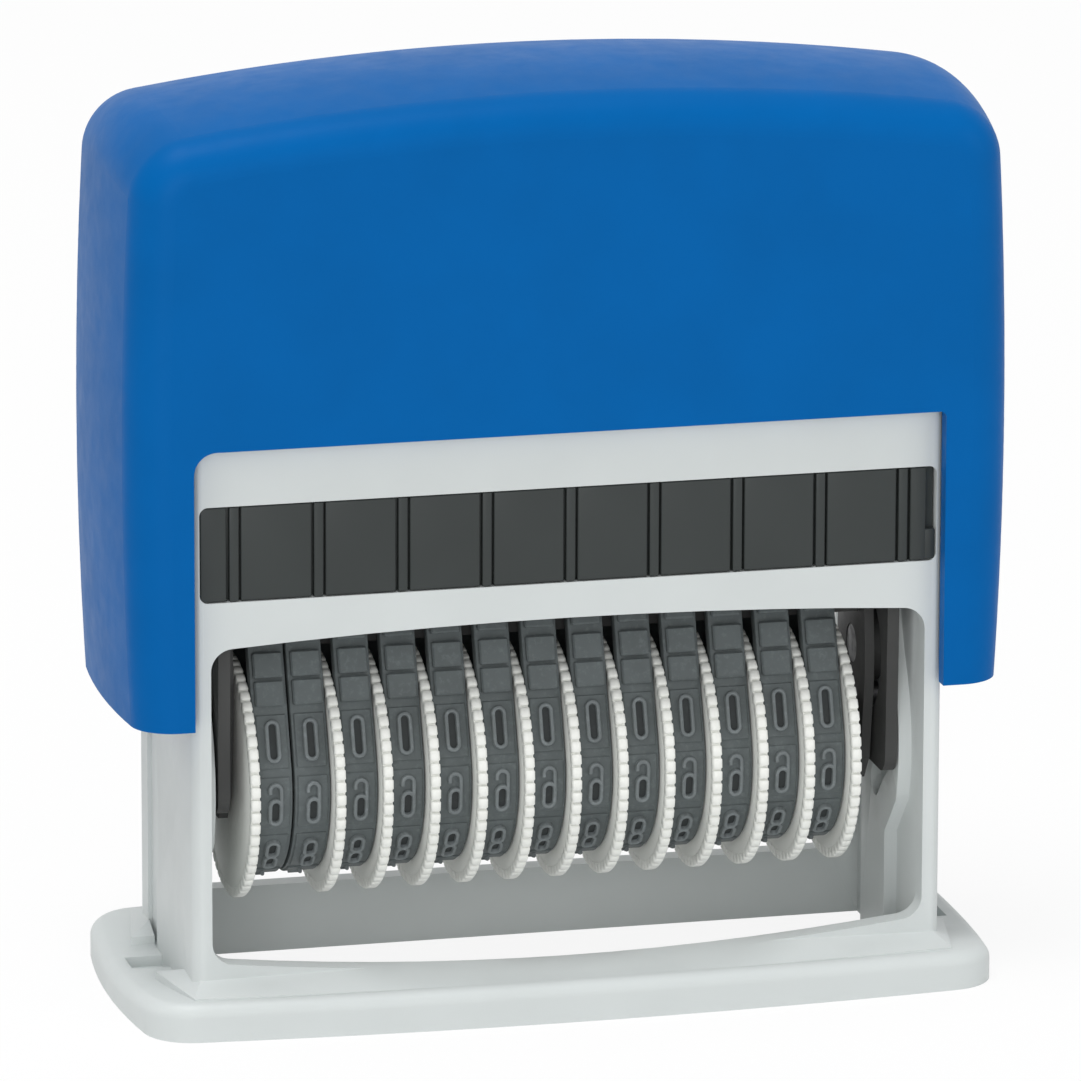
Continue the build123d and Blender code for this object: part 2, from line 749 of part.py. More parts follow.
for number in range(1, wheel_count + 1):
    band_middle = disc_middle(number) + hub_side(number) * (disc_thickness + slot_width) / 2
    with BuildPart() as band:
        with BuildSketch(Plane.YZ.offset(band_middle - band_width / 2)):
            with Locations((0, axle_height)):
                Circle(band_radius)
            with Locations((-corner_y, corner_z), (corner_y, corner_z)):
                Circle(corner_radius)
            make_hull()
        extrude(amount=band_width)
        with BuildSketch(Plane.YZ.offset(band_middle - band_width / 2)):
            with Locations((0, axle_height)):
                Circle(band_inner_radius)
            with Locations((-corner_y, corner_z), (corner_y, corner_z)):
                Circle(corner_radius - band_thickness)
            make_hull()
        extrude(amount=band_width, mode=Mode.SUBTRACT)
        figure_width = band_width - 2 * figure_margin
        with BuildSketch(Plane.YZ.offset(band_middle - figure_width / 2)):
            for place_y, place_z, heading in figure_places():
                with Locations(Location((place_y, place_z), heading)):
                    Rectangle(2 * figure_relief, figure_length)
        extrude(amount=figure_width)
        with BuildSketch(Plane.YZ.offset(band_middle - band_width / 2)):
            with Locations((0, axle_height)):
                Circle(band_inner_radius)
        extrude(amount=band_width, mode=Mode.SUBTRACT)
    band.part.label = f"band_{number:02d}"
    export_step(band.part, f"parts/band_{number:02d}.step")
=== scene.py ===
"""Builds and dresses the visible pieces of a self-inking numbering stamp."""
from math import asin, atan2, cos, hypot, pi, radians, sin, sqrt

import bmesh
import bpy
from bpy.props import FloatProperty, FloatVectorProperty, IntProperty, PointerProperty
from mathutils import Matrix, Vector


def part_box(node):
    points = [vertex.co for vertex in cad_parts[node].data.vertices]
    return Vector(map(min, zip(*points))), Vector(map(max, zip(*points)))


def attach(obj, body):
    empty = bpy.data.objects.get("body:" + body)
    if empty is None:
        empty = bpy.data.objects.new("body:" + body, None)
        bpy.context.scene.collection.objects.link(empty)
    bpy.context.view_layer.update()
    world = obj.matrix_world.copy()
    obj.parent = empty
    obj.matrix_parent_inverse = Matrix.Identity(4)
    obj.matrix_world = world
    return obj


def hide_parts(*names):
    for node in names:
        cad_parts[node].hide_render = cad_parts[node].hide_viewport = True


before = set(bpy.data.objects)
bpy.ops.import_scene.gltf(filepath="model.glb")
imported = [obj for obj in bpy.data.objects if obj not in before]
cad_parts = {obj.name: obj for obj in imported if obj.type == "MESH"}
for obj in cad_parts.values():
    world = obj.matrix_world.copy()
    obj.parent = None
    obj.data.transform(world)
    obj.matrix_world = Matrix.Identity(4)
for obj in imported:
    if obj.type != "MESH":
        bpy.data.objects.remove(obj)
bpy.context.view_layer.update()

bl_info = {
    "name": "Numbering Stamp",
    "version": (1, 0, 0),
    "blender": (4, 5, 0),
    "location": "3D View > Sidebar > Stamp",
    "description": "Builds the visible pieces of a self-inking numbering stamp round its frame",
    "category": "Object",
}

MM = 0.001

# Cleaning of meshes
WELD = 0.0005 * MM          # nearer points of a finished piece become one
LOOSE_WELD = 0.001 * MM     # the same, on meshes that come in as loose faces
FLAT_ANGLE = radians(0.2)   # faces that turn less than this are joined
SMOOTH_ANGLE = 35           # in degrees, past which an edge is sharp
WHEEL_SMOOTH_ANGLE = 50
FACING = 0.9                # least part of a normal along an axis for a face to look that way

# Where the belts run, in millimetres and radians: over the bar at the top and round the hubs
AXLE_HEIGHT = 18.55
BAND_RADIUS = 8.3
BAND_THICKNESS = 1.2
BAND_WIDTH = 3.0
BAND_TOP = 35.6
CORNER_RADIUS = 1.25
CORNER_Y = 2.0
CORNER_Z = BAND_TOP - CORNER_RADIUS
CENTRE_DISTANCE = hypot(CORNER_Y, CORNER_Z - AXLE_HEIGHT)
FLANK_SWING = asin((BAND_RADIUS - CORNER_RADIUS) / CENTRE_DISTANCE)
FLANK_LEAN = FLANK_SWING - atan2(CORNER_Y, CORNER_Z - AXLE_HEIGHT)
FLANK_LENGTH = sqrt(CENTRE_DISTANCE**2 - (BAND_RADIUS - CORNER_RADIUS) ** 2)
CORNER_ARC = (pi / 2 - FLANK_LEAN) * CORNER_RADIUS
HUB_ARC = (pi / 2 + FLANK_LEAN) * BAND_RADIUS
FLANK_START = CORNER_Y + CORNER_ARC
FLANK_END = FLANK_START + FLANK_LENGTH
HALF_LOOP = FLANK_END + HUB_ARC
PLACES = 13
PITCH = 2 * HALF_LOOP / PLACES

# What stands on the belts, in millimetres
BELT_EDGE = 0.14
BELT_CUTS = 259
PLATE_SINK = 0.1        # how deep each plate stands in its belt
BLOCK_SHIFT = 1.18      # of each half of a double block from the middle of its place
BLOCK_LENGTH = 2.12
BLOCK_WIDTH = 2.5
BLOCK_EDGE = 0.14
BLOCK_CUTS = 8
BASE_LENGTH = 4.5       # of the low plate under a figure
BASE_WIDTH = 2.56
BASE_HEIGHT = 0.14
BASE_EDGE = 0.08
BASE_CUTS = 16
COUNTER_MARGIN = 0.5    # by which the plate inside a closed figure is shorter than the figure
COUNTER_WIDTH = 0.64
COUNTER_HEIGHT = 0.2
COUNTER_CUTS = 8
# darkening of the rubber inside closed figures: painted shade in their hollows
COUNTER_SHADE = 0.3
BELT, TYPE, COUNTER = range(3)      # the order of a band's materials

# Wheels, in millimetres
WHEELS = 13
DISC_THICKNESS = 0.8
DISC_ROOT = 10.0
DISC_RADIUS = 10.35
RIM_START = 9.2         # from here out the disc's faces step in, so that the teeth's stand clear
RIM_FLAT = 9.3
RIM_STEP = 0.04
HUB_RADIUS = 7.0
HUB_LENGTH = 3.1
HUB_CHAMFER = 0.15
BORE_RADIUS = 1.55
WHEEL_STEPS = 96
TOOTH_HEIGHT = 0.9
TOOTH_SHARE = 0.84      # length of a tooth as a part of the teeth's pitch
TOOTH_EDGE = 0.11

# Ink cartridge, in millimetres: heights are Z, fronts and backs are Y
PAD_HALF = 31.1
PAD_LOW = 36.3
PAD_HIGH = 44.2
PAD_BASE = -10.3        # front and back of the plate that the tiles and ribs stand on
PAD_REAR = -9.7
PAD_EDGE = 0.15
TILE_STEP = 7.08
TILE_HALF = 2.95
TILE_FRONT = -10.87     # of a tile's border, from which the middle of the tile stands out
TILE_BORDER = 0.4
TILE_RISE = 0.13
TILE_EDGE = 0.06
TILE_SLACK = 0.01       # room past the border when its edges are picked
RIB_HALF = 0.38
RIB_FRONT = -10.95
RIB_EDGE = 0.08
END_TILE = 28.95        # from the middle to the inner end of each end tile
RIGHT_TILE_END = 30.3
STUB_START = 30.2       # of the low block beside the last tile
STUB_FRONT = -10.9
STUB_HEIGHT = 2.6
STUB_EDGE = 0.12
TRAY_HALF = 27.6
TRAY_BACK = 8.1
TRAY_TOP = 43.2
TRAY_WALL = 1.2
TRAY_DEPTH = 3.55

# Finishes
GRAIN_DEPTH = 0.008 * MM
CAP_GRAIN = 0.3 * MM
ROD_COLOUR = (0.34, 0.34, 0.35)
SPRING_COLOUR = (0.5, 0.5, 0.5)
INK_DARK = (0.004, 0.005, 0.02)
INK_PALE = (0.03, 0.035, 0.09)
HOUSING_EASE_ANGLE = 50     # in degrees, past which an edge of the housing is rounded

# Camera: angles in degrees, lengths in metres, the lens and its sensor in millimetres
CAMERA_AZIMUTH = -13.683
CAMERA_ELEVATION = 14.738
CAMERA_ROLL = 0.147
CAMERA_AIM = Vector((0.112, 0.109, 36.902)) * MM
CAMERA_DISTANCE = 0.88572
CAMERA_LENS = 354.182
SENSOR_WIDTH = 36
CLIP_START = 0.05

# Floor, surround and lamps, in metres and watts
FLOOR_SIZE = 3.0
FLOOR_PAPER = (0.9, 0.9, 0.9)
FLOOR_GLOW = 0.88           # share of plain white where the camera or a mirror sees the floor
WHITE = (1.0, 1.0, 1.0)
SURROUND_LIT = 0.5          # strength of the surround as a light
SURROUND_SEEN = 1.0         # and where it is seen
LAMP_AIM = Vector((0, 0, 0.04))
LAMPS = (                   # name, place, side, power
    ("key", (-0.25, -0.15, 1.25), 0.6, 9.5),
    ("fill", (-0.32, -1.2, 0.3), 0.7, 4.0),
    ("right", (0.9, -0.8, 0.4), 0.6, 1.6),
)


class StampLook(bpy.types.PropertyGroup):
    """Colours and sizes that the pieces are made with"""

    cap_colour: FloatVectorProperty(
        name="Cap", description="Colour of the press-down cap", subtype="COLOR",
        size=3, min=0, max=1, default=(0.0, 0.106, 0.355),
    )
    frame_colour: FloatVectorProperty(
        name="Frame", description="Colour of the housing", subtype="COLOR",
        size=3, min=0, max=1, default=(0.60, 0.635, 0.63),
    )
    pad_colour: FloatVectorProperty(
        name="Pad", description="Colour of the ink cartridge", subtype="COLOR",
        size=3, min=0, max=1, default=(0.038, 0.044, 0.043),
    )
    inner_colour: FloatVectorProperty(
        name="Yoke and carrier", description="Colour of the parts inside the housing",
        subtype="COLOR", size=3, min=0, max=1, default=(0.06, 0.061, 0.06),
    )
    belt_colour: FloatVectorProperty(
        name="Bands", description="Colour of the rubber belts", subtype="COLOR",
        size=3, min=0, max=1, default=(0.105, 0.121, 0.123),
    )
    # the figures are the belts' own rubber, made lighter as a painted highlight on their raised tops
    lit_type_colour: FloatVectorProperty(
        name="Figures", description="Colour of the raised figures", subtype="COLOR",
        size=3, min=0, max=1, default=(0.17, 0.19, 0.195),
    )
    wheel_colour: FloatVectorProperty(
        name="Wheels", description="Colour of the thumbwheels", subtype="COLOR",
        size=3, min=0, max=1, default=(0.82, 0.83, 0.79),
    )
    edge: FloatProperty(
        name="Moulded edge", description="Radius along the edges of the housing",
        unit="LENGTH", default=0.25 * MM, min=0,
    )
    stroke: FloatProperty(
        name="Figure stroke", description="Width of a figure's raised line",
        unit="LENGTH", default=0.34 * MM, min=0,
    )
    relief: FloatProperty(
        name="Figure relief", description="Height of the figures over the belt",
        unit="LENGTH", default=0.55 * MM, min=0,
    )
    phase: FloatProperty(
        name="Band creep", description="How far the bands have crept towards the front",
        unit="LENGTH", default=0.4 * MM,
    )
    teeth: IntProperty(
        name="Wheel teeth", description="Teeth round each thumbwheel", default=60, min=3,
    )
    tiles: IntProperty(
        name="Pad tiles", description="Full tiles across the front of the ink cartridge",
        default=8, min=1,
    )


# Shader maths --------------------------------------------------------------------------
class Socket:
    """A node output that takes part in Python arithmetic."""

    def __init__(self, graph, output):
        self.graph = graph
        self.output = output

    def _math(self, operation, a, b):
        return self.graph.node("ShaderNodeMath", {"operation": operation}, {0: a, 1: b})

    def __add__(self, other):
        return self._math("ADD", self, other)

    def __radd__(self, other):
        return self._math("ADD", other, self)

    def __sub__(self, other):
        return self._math("SUBTRACT", self, other)

    def __rsub__(self, other):
        return self._math("SUBTRACT", other, self)

    def __mul__(self, other):
        return self._math("MULTIPLY", self, other)

    def __rmul__(self, other):
        return self._math("MULTIPLY", other, self)

    def __pow__(self, other):
        return self._math("POWER", self, other)


class Graph:
    """A node tree built from expressions."""

    def __init__(self, tree):
        self.tree = tree

    def node(self, kind, settings, values, out=0):
        """Adds a node: its settings first, then the values or links of its sockets."""
        made = self.tree.nodes.new(kind)
        for key, value in settings.items():
            setattr(made, key, value)
        for key, value in values.items():
            socket = made.inputs[key]
            if isinstance(value, Socket):
                self.tree.links.new(value.output, socket)
            elif socket.type == "RGBA":
                socket.default_value = (*value, 1.0)
            else:
                socket.default_value = value
        return Socket(self, made.outputs[out])

    def ray(self, kind):
        """1 on rays of this kind and 0 on the others."""
        return self.node("ShaderNodeLightPath", {}, {}, f"Is {kind} Ray")

    def spread(self, value, low, high, start=0.0, end=1.0):
        """Maps a number from low..high to start..end, clamped."""
        values = {"Value": value, "From Min": low, "From Max": high, "To Min": start, "To Max": end}
        return self.node("ShaderNodeMapRange", {}, values)


class Finish(Graph):
    """A node material."""

    def __init__(self, name):
        self.material = bpy.data.materials.new(name)
        self.material.use_nodes = True
        super().__init__(self.material.node_tree)
        self.tree.nodes.clear()
        self.output = self.tree.nodes.new("ShaderNodeOutputMaterial")
        self.coords = self.node("ShaderNodeTexCoord", {}, {}, "Object")

    def noise(self, size, detail=2.0, roughness=0.5):
        """Noise whose lumps are about this size in metres."""
        values = {"Vector": self.coords, "Scale": 1 / size, "Detail": detail, "Roughness": roughness}
        return self.node("ShaderNodeTexNoise", {}, values)

    def mix(self, factor, first, second):
        """Blends two colours: sockets 6 and 7 and output 2 are the node's own for colours."""
        values = {0: factor, 6: first, 7: second}
        return self.node("ShaderNodeMix", {"data_type": "RGBA"}, values, 2)

    def bump(self, height, strength, distance):
        """Turns a height into a normal."""
        values = {"Height": height, "Strength": strength, "Distance": distance}
        return self.node("ShaderNodeBump", {}, values)

    def from_axle(self):
        """Distance from the wheel axle in metres."""
        across = self.node("ShaderNodeSeparateXYZ", {}, {0: self.coords}, "Y")
        up = self.node("ShaderNodeSeparateXYZ", {}, {0: self.coords}, "Z") - AXLE_HEIGHT * MM
        return (across * across + up * up) ** 0.5

    def surface(self, shader):
        """Links a shader to the output and gives the material."""
        self.tree.links.new(shader.output, self.output.inputs["Surface"])
        return self.material

    def shade(self, **sockets):
        """Adds the Principled shader, links it to the output and gives the material."""
        values = {key.replace("_", " "): value for key, value in sockets.items()}
        return self.surface(self.node("ShaderNodeBsdfPrincipled", {}, values))


def tinted(colour, factor):
    """A colour made lighter or darker."""
    return tuple(min(1.0, channel * factor) for channel in colour)


def moulded(name, colour, roughness, shine, mottle=0.015, grain=0.22 * MM):
    """Injection-moulded plastic: faint mottle, a fine grain and rubbed patches."""
    make = Finish(name)
    cloud = make.spread(make.noise(9 * MM, detail=3.0), low=0.35, high=0.65)
    rub = make.noise(2.4 * MM, detail=4.0, roughness=0.6)
    return make.shade(
        Base_Color=make.mix(cloud, tinted(colour, 1 - mottle), tinted(colour, 1 + mottle)),
        Roughness=make.spread(rub, low=0.3, high=0.75, start=roughness - 0.05, end=roughness + 0.06),
        Specular_IOR_Level=shine,
        Normal=make.bump(make.noise(grain), strength=0.35, distance=GRAIN_DEPTH),
    )


def rubber(name, colour):
    """Vulcanised rubber: matte, with talc in its pores and small flow marks."""
    make = Finish(name)
    talc = make.spread(make.noise(0.5 * MM, detail=4.0, roughness=0.7), low=0.52, high=0.72)
    flow = make.spread(make.noise(4 * MM, detail=3.0), low=0.3, high=0.7)
    base = make.mix(flow, tinted(colour, 0.88), tinted(colour, 1.1))
    pores = make.noise(0.12 * MM, detail=3.0)
    return make.shade(
        Base_Color=make.mix(talc * 0.35, base, tinted(colour, 1.9)),
        Roughness=make.spread(flow, low=0.0, high=1.0, start=0.5, end=0.68),
        Specular_IOR_Level=0.25,
        Normal=make.bump(pores, strength=0.4, distance=0.012 * MM),
    )


def ivory_wheel(name, colour):
    """Natural plastic with painted shade that darkens it, with specks, towards the hub."""
    make = Finish(name)
    towards_rim = make.spread(make.from_axle(), low=5.5 * MM, high=9.6 * MM)
    specks = make.spread(make.noise(0.8 * MM, detail=4.0, roughness=0.65), low=0.5, high=0.75)
    rim_tone = make.mix(make.noise(3 * MM), tinted(colour, 0.97), tinted(colour, 1.05))
    # painted shade: the disc gets darker and specked towards the hub, where the parts round it crowd
    # in
    specked_hub_shade = make.mix(specks, tinted(colour, 0.92), tinted(colour, 0.84))
    return make.shade(
        Base_Color=make.mix(towards_rim, specked_hub_shade, rim_tone),
        Roughness=make.spread(towards_rim, low=0.0, high=1.0, start=0.55, end=0.4),
        Specular_IOR_Level=0.3,
        Normal=make.bump(make.noise(0.2 * MM), strength=0.3, distance=GRAIN_DEPTH),
    )


def drawn_steel(name, colour, roughness):
    """Steel rod or wire with fine drawing marks and a few dull spots."""
    make = Finish(name)
    dull = make.spread(make.noise(0.9 * MM, detail=4.0, roughness=0.65), low=0.45, high=0.7)
    return make.shade(
        Base_Color=make.mix(dull, colour, tinted(colour, 0.7)),
        Metallic=1.0,
        Roughness=make.spread(dull, low=0.0, high=1.0, start=roughness, end=roughness + 0.2),
        Normal=make.bump(make.noise(0.08 * MM), strength=0.2, distance=0.004 * MM),
    )


def inked_felt(name):
    """Open foam soaked with dark ink."""
    make = Finish(name)
    pores = make.noise(0.35 * MM, detail=4.0, roughness=0.7)
    return make.shade(
        Base_Color=make.mix(pores, INK_DARK, INK_PALE),
        Roughness=make.spread(pores, low=0.3, high=0.7, start=0.35, end=0.85),
        Normal=make.bump(pores, strength=0.8, distance=0.15 * MM),
    )


# Mesh helpers --------------------------------------------------------------------------
def finished(form, name, body, slot, materials, *nodes, smooth=SMOOTH_ANGLE):
    """Makes a piece of a bmesh: it rides on a body and stands for its nodes."""
    bmesh.ops.remove_doubles(form, verts=form.verts, dist=WELD)
    bmesh.ops.recalc_face_normals(form, faces=form.faces)
    mesh = bpy.data.meshes.new(name)
    form.to_mesh(mesh)
    form.free()
    for material in materials:
        mesh.materials.append(material)
    mesh.shade_smooth()
    mesh.set_sharp_from_angle(angle=radians(smooth))
    piece = bpy.data.objects.new(name, mesh)
    bpy.context.scene.collection.objects.link(piece)
    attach(piece, body)
    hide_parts(*nodes)
    return piece


def dress(material, *nodes):
    """Gives carried-over nodes their finish."""
    for node in nodes:
        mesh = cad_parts[node].data
        mesh.materials.clear()
        mesh.materials.append(material)


def copied(node):
    """A bmesh of a node's shape: its loose triangles are merged and its flat ones joined."""
    form = bmesh.new()
    form.from_mesh(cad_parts[node].data)
    bmesh.ops.remove_doubles(form, verts=form.verts, dist=LOOSE_WELD)
    bmesh.ops.dissolve_limit(form, angle_limit=FLAT_ANGLE, verts=form.verts, edges=form.edges)
    return form


def eased(form, edges, width, segments):
    """Rounds edges of a bmesh by a width in millimetres."""
    bmesh.ops.bevel(
        form, geom=edges, offset=width * MM, affect="EDGES",
        segments=segments, profile=0.5, material=-1,
    )


def lengthwise(edges, least):
    """The edges that span more than this along Y, in metres."""
    return [edge for edge in edges if abs((edge.verts[0].co - edge.verts[1].co).y) > least]


def block(form, low, high, ease=0.0, segments=2):
    """A box between two corners, with rounded edges where a width is given, in millimetres."""
    low, high = Vector(low) * MM, Vector(high) * MM
    size = high - low
    place = Matrix.Translation((low + high) / 2) @ Matrix.Diagonal((*size, 1))
    corners = bmesh.ops.create_cube(form, size=1.0, matrix=place)["verts"]
    if ease:
        edges = {edge for corner in corners for edge in corner.link_edges}
        eased(form, list(edges), ease, segments)


def joined(form, other):
    """Adds the other bmesh to this one, and frees the other."""
    mesh = bpy.data.meshes.new("joining")
    other.to_mesh(mesh)
    other.free()
    form.from_mesh(mesh)
    bpy.data.meshes.remove(mesh)


# Bands ---------------------------------------------------------------------------------
def loop_place(distance):
    """(Y, Z, outward angle) on a belt's face, so far from its top middle towards the front."""
    distance %= 2 * HALF_LOOP
    rear = distance > HALF_LOOP
    left = 2 * HALF_LOOP - distance if rear else distance
    if left < CORNER_Y:
        y, z, angle = left, BAND_TOP, pi / 2
    elif left < FLANK_START:
        angle = pi / 2 - (left - CORNER_Y) / CORNER_RADIUS
        y, z = CORNER_Y + CORNER_RADIUS * cos(angle), CORNER_Z + CORNER_RADIUS * sin(angle)
    elif left < FLANK_END:
        angle = FLANK_LEAN
        y = BAND_RADIUS * cos(angle) - (FLANK_END - left) * sin(angle)
        z = AXLE_HEIGHT + BAND_RADIUS * sin(angle) + (FLANK_END - left) * cos(angle)
    else:
        angle = FLANK_LEAN - (left - FLANK_END) / BAND_RADIUS
        y, z = BAND_RADIUS * cos(angle), AXLE_HEIGHT + BAND_RADIUS * sin(angle)
    return (y, z, angle) if rear else (-y, z, pi - angle)


def rolled(form, phase):
    """Rolls a flat strip round the loop: X across, Y along, Z outward from the belt's face."""
    for vert in form.verts:
        height = vert.co.z
        y, z, angle = loop_place((vert.co.y + phase) / MM)
        vert.co.y = y * MM + cos(angle) * height
        vert.co.z = z * MM + sin(angle) * height


def belt():
    """The flat strip of a belt with its long edges eased and its ends open."""
    form = bmesh.new()
    block(form, (-BAND_WIDTH / 2, 0, -BAND_THICKNESS), (BAND_WIDTH / 2, 2 * HALF_LOOP, 0))
    eased(form, lengthwise(form.edges, MM), BELT_EDGE, 2)
    ends = [face for face in form.faces if abs(face.normal.y) > FACING]
    bmesh.ops.delete(form, geom=ends, context="FACES_ONLY")
    bmesh.ops.subdivide_edges(
        form, edges=lengthwise(form.edges, MM), cuts=BELT_CUTS, use_grid_fill=True
    )
    return form


def plate(form, middle, length, width, height, ease, cuts, material=BELT):
    """A raised plate on the strip, cut across so that it can be rolled with it."""
    verts_before = set(form.verts)
    faces_before = set(form.faces)
    low = (-width / 2, middle - length / 2, -PLATE_SINK)
    high = (width / 2, middle + length / 2, height)
    block(form, low, high, ease, 1)
    new_edges = {edge for vert in form.verts if vert not in verts_before for edge in vert.link_edges}
    bmesh.ops.subdivide_edges(
        form, edges=lengthwise(new_edges, length * MM / 2), cuts=cuts, use_grid_fill=True
    )
    for face in form.faces:
        if face not in faces_before:
            face.material_index = material


ROUND = 0.47        # half width of a figure's centre line, in millimetres
TALL = 1.64         # half its height
ARC_STEPS = 8


def arc(height, start, end):
    """Points on a round end of a figure, between two angles in degrees."""
    turns = [radians(start + (end - start) * step / ARC_STEPS) for step in range(ARC_STEPS + 1)]
    return [(ROUND * cos(turn), height + ROUND * sin(turn)) for turn in turns]


def ring(low, high):
    """A closed upright ring with round ends."""
    return True, arc(high - ROUND, 0, 180) + arc(low + ROUND, 180, 360)


def turned(lines):
    """A figure turned half round."""
    return [(closed, [(-x, -y) for x, y in points]) for closed, points in lines]


# Centre lines of the figures: whether each is closed, and its points from the middle
nine = [
    ring(-0.35, TALL),
    (False, [(ROUND, 0.6)] + arc(ROUND - TALL, 0, -180) + [(-ROUND, 0.72 - TALL)]),
]
five = (
    [(ROUND, TALL), (-ROUND, TALL), (-ROUND, 0.1)] + arc(-0.1, 135, 0) + arc(ROUND - TALL, 0, -180)
)
FIGURES = {
    "0": [ring(-TALL, TALL)],
    "9": nine,
    "8": [ring(0.0, TALL), ring(-TALL, 0.0)],
    "7": [(False, [(-ROUND, TALL), (ROUND, TALL), (ROUND, TALL - 0.4), (-0.15, -TALL)])],
    "6": turned(nine),
    "5": [(False, five)],
    "4": [
        (False, [(ROUND, -0.75), (-ROUND, -0.75), (0.1, TALL)]),
        (False, [(0.25, 0.1), (0.25, -TALL)]),
    ],
    "3": [
        (False, arc(TALL - ROUND, 180, 0) + arc(0.35, 0, -90)),
        (False, [(0.0, -0.12)] + arc(-0.6, 90, 0) + arc(ROUND - TALL, 0, -180)),
    ],
    "2": [(False, arc(TALL - ROUND, 180, 0) + [(ROUND, 0.7), (-ROUND, -TALL), (ROUND, -TALL)])],
    "1": [(False, [(-0.35, TALL - 0.5), (0.05, TALL), (0.05, -TALL)])],
}
BLANKS = 3          # double blocks before the figures begin
ORDER = "0987654321"


def type_lines(look):
    """Every figure's raised line along the flat strip, as a bmesh."""
    curve = bpy.data.curves.new("type_lines", "CURVE")
    curve.dimensions = "3D"
    curve.twist_mode = "Z_UP"
    curve.bevel_depth = look.stroke / 2
    curve.bevel_resolution = 1
    curve.extrude = look.relief / 2
    curve.use_fill_caps = True
    height = look.relief / 2 - look.stroke / 2
    for place, figure in enumerate(ORDER, BLANKS):
        for closed, points in FIGURES[figure]:
            spline = curve.splines.new("POLY")
            spline.points.add(len(points) - 1)
            for point, (x, y) in zip(spline.points, points):
                point.co = (x * MM, (place * PITCH + y) * MM, height, 1.0)
            spline.use_cyclic_u = closed
    holder = bpy.data.objects.new("type_lines", curve)
    mesh = bpy.data.meshes.new_from_object(holder)
    form = bmesh.new()
    form.from_mesh(mesh)
    bmesh.ops.remove_doubles(form, verts=form.verts, dist=LOOSE_WELD)
    bpy.data.objects.remove(holder)
    bpy.data.curves.remove(curve)
    bpy.data.meshes.remove(mesh)
    return form


class STAMP_OT_bands(bpy.types.Operator):
    """Roll the rubber belts with their blocks and figures"""

    bl_idname = "stamp.bands"
    bl_label = "Number bands"

    def execute(self, context):
        look = context.scene.stamp_look
        belt_rubber = rubber("band_rubber", look.belt_colour)
        # the figures' lighter rubber is a painted highlight on their tops
        lit_type_rubber = rubber("lit_type_rubber", look.lit_type_colour)
        counter_shade_rubber = rubber("counter_shade_rubber", tinted(look.belt_colour, COUNTER_SHADE))
        flat = belt()
        for place in range(BLANKS):
            for side in (-1, 1):
                plate(
                    flat, place * PITCH + side * BLOCK_SHIFT, BLOCK_LENGTH, BLOCK_WIDTH,
                    look.relief / MM, BLOCK_EDGE, BLOCK_CUTS,
                )
        for place, figure in enumerate(ORDER, BLANKS):
            plate(flat, place * PITCH, BASE_LENGTH, BASE_WIDTH, BASE_HEIGHT, BASE_EDGE, BASE_CUTS)
            for closed, points in FIGURES[figure]:
                if closed:
                    # a dark plate inside each closed figure stands for the shade in its hollow
                    low, high = min(y for x, y in points), max(y for x, y in points)
                    middle = place * PITCH + (low + high) / 2
                    plate(
                        flat, middle, high - low - COUNTER_MARGIN, COUNTER_WIDTH,
                        COUNTER_HEIGHT, 0, COUNTER_CUTS, COUNTER,
                    )
        belt_faces = len(flat.faces)
        joined(flat, type_lines(look))
        flat.faces.ensure_lookup_table()
        for face in flat.faces[belt_faces:]:
            face.material_index = TYPE
        rolled(flat, look.phase)
        pattern = bpy.data.meshes.new("band_pattern")
        flat.to_mesh(pattern)
        flat.free()
        for number in range(1, WHEELS + 1):
            node = f"band_{number:02d}"
            low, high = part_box(node)
            form = bmesh.new()
            form.from_mesh(pattern)
            bmesh.ops.translate(form, vec=((low.x + high.x) / 2, 0, 0), verts=form.verts)
            finished(
                form, f"{node}_rubber", "carrier", "band_rubber",
                (belt_rubber, lit_type_rubber, counter_shade_rubber), node,
            )
        bpy.data.meshes.remove(pattern)
        return {"FINISHED"}


# Wheels --------------------------------------------------------------------------------
def wheel(teeth):
    """A thumbwheel about the X axis, its hub towards +X, its disc about the middle."""
    form = bmesh.new()
    half = DISC_THICKNESS / 2
    rim = half - RIM_STEP
    end = half + HUB_LENGTH
    profile = (
        (-half, BORE_RADIUS), (-half, RIM_START), (-rim, RIM_FLAT), (-rim, DISC_ROOT),
        (rim, DISC_ROOT), (rim, RIM_FLAT), (half, RIM_START), (half, HUB_RADIUS),
        (end - HUB_CHAMFER, HUB_RADIUS), (end, HUB_RADIUS - HUB_CHAMFER), (end, BORE_RADIUS),
    )
    verts = [form.verts.new((x * MM, 0, radius * MM)) for x, radius in profile]
    edges = [form.edges.new((verts[index - 1], vert)) for index, vert in enumerate(verts)]
    bmesh.ops.spin(
        form, geom=verts + edges, cent=(0, 0, 0), axis=(1, 0, 0),
        angle=2 * pi, steps=WHEEL_STEPS, use_merge=True,
    )
    toothing = bmesh.new()
    length = TOOTH_SHARE * 2 * pi * DISC_RADIUS / teeth
    lift = Matrix.Translation((0, 0, (DISC_RADIUS - TOOTH_HEIGHT / 2) * MM))
    shape = Matrix.Diagonal((DISC_THICKNESS * MM, length * MM, TOOTH_HEIGHT * MM, 1))
    for tooth in range(teeth):
        turn = Matrix.Rotation(2 * pi * tooth / teeth, 4, "X")
        bmesh.ops.create_cube(toothing, size=1.0, matrix=turn @ lift @ shape)
    eased(toothing, toothing.edges[:], TOOTH_EDGE, 1)
    joined(form, toothing)
    return form


